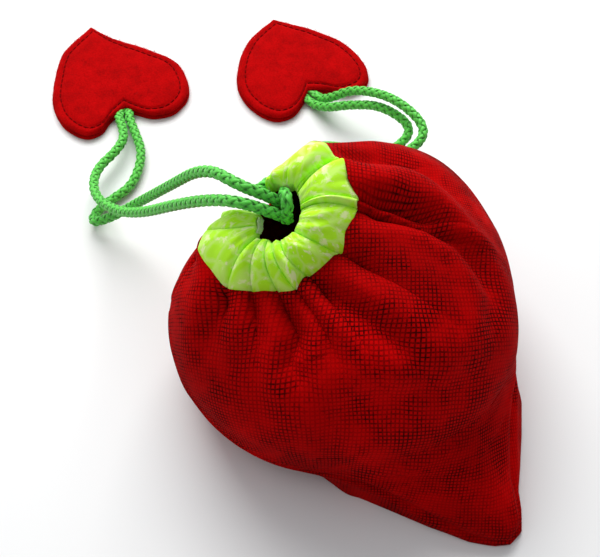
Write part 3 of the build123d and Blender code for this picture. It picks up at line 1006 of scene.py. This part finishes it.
def felt_fuzz(name, line, mid, body_name, seed):
    """Loose fibres that stand off the felt, mostly along its cut edge."""
    rng = np.random.default_rng(seed)
    mid = np.array(mid, float)
    verts, faces = [], []
    for k in range(FIBRES):
        at = line[rng.integers(len(line))]
        edge_fibre = k % 2 == 0
        q = 1.0 + rng.uniform(-0.02, 0.004) if edge_fibre else math.sqrt(rng.uniform(0.02, 0.97))
        xy = mid + (at - mid) * q
        inset = np.linalg.norm(at - mid) * max(1 - q, 0)
        dome = FELT_PUFF * (1 - math.exp(-max(inset - PUFF_FROM, 0) / PUFF_OVER))
        z = rng.uniform(0.4, 3.9) if edge_fibre else 2 * FELT_T + dome - 0.12
        out = (at - mid) / np.linalg.norm(at - mid) if edge_fibre else np.zeros(2)
        a = rng.uniform(0, 2 * math.pi)
        way = np.array((math.cos(a) * 0.8 + out[0], math.sin(a) * 0.8 + out[1], rng.uniform(-0.2, 0.5)))
        way /= np.linalg.norm(way)
        bend = rng.normal(0, 0.35, 3)
        long = rng.uniform(0.5, 1.3)
        start = np.array((xy[0], xy[1], z))
        p1 = start + way * long * 0.5
        p2 = start + (way + bend) * long
        p1[2], p2[2] = max(p1[2], 0.05), max(p2[2], 0.05)
        w = np.cross(way, (0.3, 0.2, 1.0))
        w = w / max(np.linalg.norm(w), 0.2) * 0.028
        b = len(verts)
        verts += [start - w, start + w, p1 + w, p1 - w, p2 + w * 0.4, p2 - w * 0.4]
        faces += [(b, b + 1, b + 2, b + 3), (b + 3, b + 2, b + 4, b + 5)]
    piece = mesh_object(name, verts, faces, FELT)
    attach(piece, body_name)
    return piece


# length of a stitch and radius of the thread
STITCH_STEP, THREAD_R = 2.9, 0.24


def stitches(name, line, mid, body_name, cad):
    """Machine stitches sunk in the upper felt, a little inside its edge."""
    mid = np.array(mid, float)
    size = np.linalg.norm(line - mid, axis=1)
    path = mid + (line - mid) * (1 - STITCH_IN / size)[:, None]
    closed = np.vstack([path, path[:1]])
    along = length_along(closed)
    count = int(along[-1] / STITCH_STEP)
    verts, faces, base = [], [], 0
    for k in range(count):
        xy = points_at(closed, along, (k + np.linspace(0.12, 0.88, 7)) * along[-1] / count)
        z = 2 * FELT_T - 0.5 + 0.35 * np.sin(np.linspace(0, np.pi, 7))
        points = np.concatenate([xy, z[:, None]], 1)
        _, side, up = frames(points)
        v, f = tube_grid(points, side, up, 6, THREAD_R, THREAD_R)
        verts.append(v)
        faces.append(f + base)
        base += len(v)
    piece = mesh_object(name, np.vstack(verts), np.vstack(faces), THREAD)
    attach(piece, body_name)
    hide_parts(cad)
    return piece


heart_pieces = {}
for side, outline, mid, seed in (
    ("left", LEFT_HEART, (-92, 137), 31),
    ("right", RIGHT_HEART, (-14, 147), 41),
):
    owner = side + "_heart"
    lower_cad, upper_cad = (f"heart_{side}_bottom",), (f"heart_{side}_top",)
    low, _ = felt_layer(f"heart_{side}_under", outline, mid, False, owner, lower_cad, seed)
    top, line = felt_layer(f"heart_{side}_upper", outline, mid, True, owner, upper_cad, seed + 1)
    fuzz = felt_fuzz(f"heart_{side}_fuzz", line, mid, owner, seed + 2)
    sewn = stitches(f"heart_{side}_stitches", line, mid, owner, f"heart_{side}_stitching")
    heart_pieces[side] = (low, top, fuzz, sewn)
# the cords' ends, sewn in between the layers and pressed flat over this length, metres
PRESS_OVER, PRESS_Z, FLOOR_Z = 0.005, 0.0021, 0.0003
CORD_ENDS = {
    "left": (
        ((-86.2, 117.4, 2.2), (-86.6, 121.0, 2.2), (-87.0, 126.0, 2.2)),
        ((-90.6, 117.4, 2.2), (-90.4, 121.0, 2.2), (-90.0, 126.0, 2.2)),
    ),
    "right": (
        ((-4.6, 128.4, 2.2), (-7.2, 131.2, 2.2), (-10.8, 134.8, 2.2)),
        ((-7.9, 125.1, 2.2), (-10.4, 128.0, 2.2), (-13.8, 131.8, 2.2)),
    ),
}
for side, routes in CORD_ENDS.items():
    for count, route in enumerate(routes):
        sewn_end, _, _ = braided(f"heart_{side}_sewn_end_{count}", route)
        first = Vector(route[0]) * MM
        for v in sewn_end.data.vertices:
            pressed = min((v.co.xy - first.xy).length / PRESS_OVER, 1.0)
            v.co.z = max(PRESS_Z + (v.co.z - PRESS_Z) * (1.0 - 0.6 * pressed), FLOOR_Z)
        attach(sewn_end, side + "_heart")
        if count == 0:
            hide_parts(f"heart_{side}_cord_ends")

for cord_name, side, exit_at, blend_to in (
    ("cord_left_upper", "left", LEFT_UPPER[0], (-54.0, 35.0, 62.0)),
    ("cord_left_lower", "left", LEFT_LOWER[0], (-54.0, 25.5, 61.5)),
    ("cord_right_upper", "right", RIGHT_UPPER[0], (12.0, 74.0, 41.5)),
    ("cord_right_lower", "right", RIGHT_LOWER[0], (6.0, 77.0, 38.5)),
):
    piece, path, length = cord_made[cord_name]
    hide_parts(cord_name)
    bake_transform(piece)

for side, flat, area in (("left", (0.058, 0.065), 0.00243), ("right", (0.056, 0.060), 0.00219)):
    low, top = heart_pieces[side][:2]

# ------------------------------------------------------------ floor, light
floor_material, tree, body_shader = shader("floor")
speck = node(tree, "ShaderNodeTexNoise", Scale=4.0, Detail=2.0)
place = node(tree, "ShaderNodeTexCoord")
tree.links.new(place.outputs["Object"], speck.inputs["Vector"])
white = ramp(tree, speck.outputs[0], ((0.3, (0.80, 0.80, 0.79)), (0.7, (0.84, 0.84, 0.83))))
tree.links.new(white, body_shader.inputs["Base Color"])
body_shader.inputs["Roughness"].default_value = 0.6
floor_mesh = bpy.data.meshes.new("floor")
floor_mesh.from_pydata([(-3, -3, 0), (3, -3, 0), (3, 3, 0), (-3, 3, 0)], [], [(0, 1, 2, 3)])
floor = bpy.data.objects.new("floor", floor_mesh)
floor_mesh.materials.append(floor_material)
bpy.context.collection.objects.link(floor)

world = bpy.data.worlds.new("world")
world.use_nodes = True
world.node_tree.nodes["Background"].inputs[0].default_value = (0.92, 0.95, 1.0, 1.0)
world.node_tree.nodes["Background"].inputs[1].default_value = 0.40
bpy.context.scene.world = world


def area_light(name, at, aim, size, power, colour=(1, 1, 1)):
    data = bpy.data.lights.new(name, "AREA")
    data.shape = "RECTANGLE"
    data.size = size[0]
    data.size_y = size[1]
    data.energy = power
    data.color = colour
    lamp = bpy.data.objects.new(name, data)
    lamp.location = at
    lamp.rotation_euler = (Vector(aim) - Vector(at)).to_track_quat("-Z", "Y").to_euler()
    bpy.context.collection.objects.link(lamp)
    return lamp


area_light("window", (-0.16, 0.98, 0.92), (0, 0, 0.03), (1.3, 0.8), 24.0)
area_light("fill", (-0.6, 0.1, 1.1), (0, 0, 0.03), (1.2, 1.2), 2.5)

bpy.context.scene.view_settings.view_transform = "Standard"
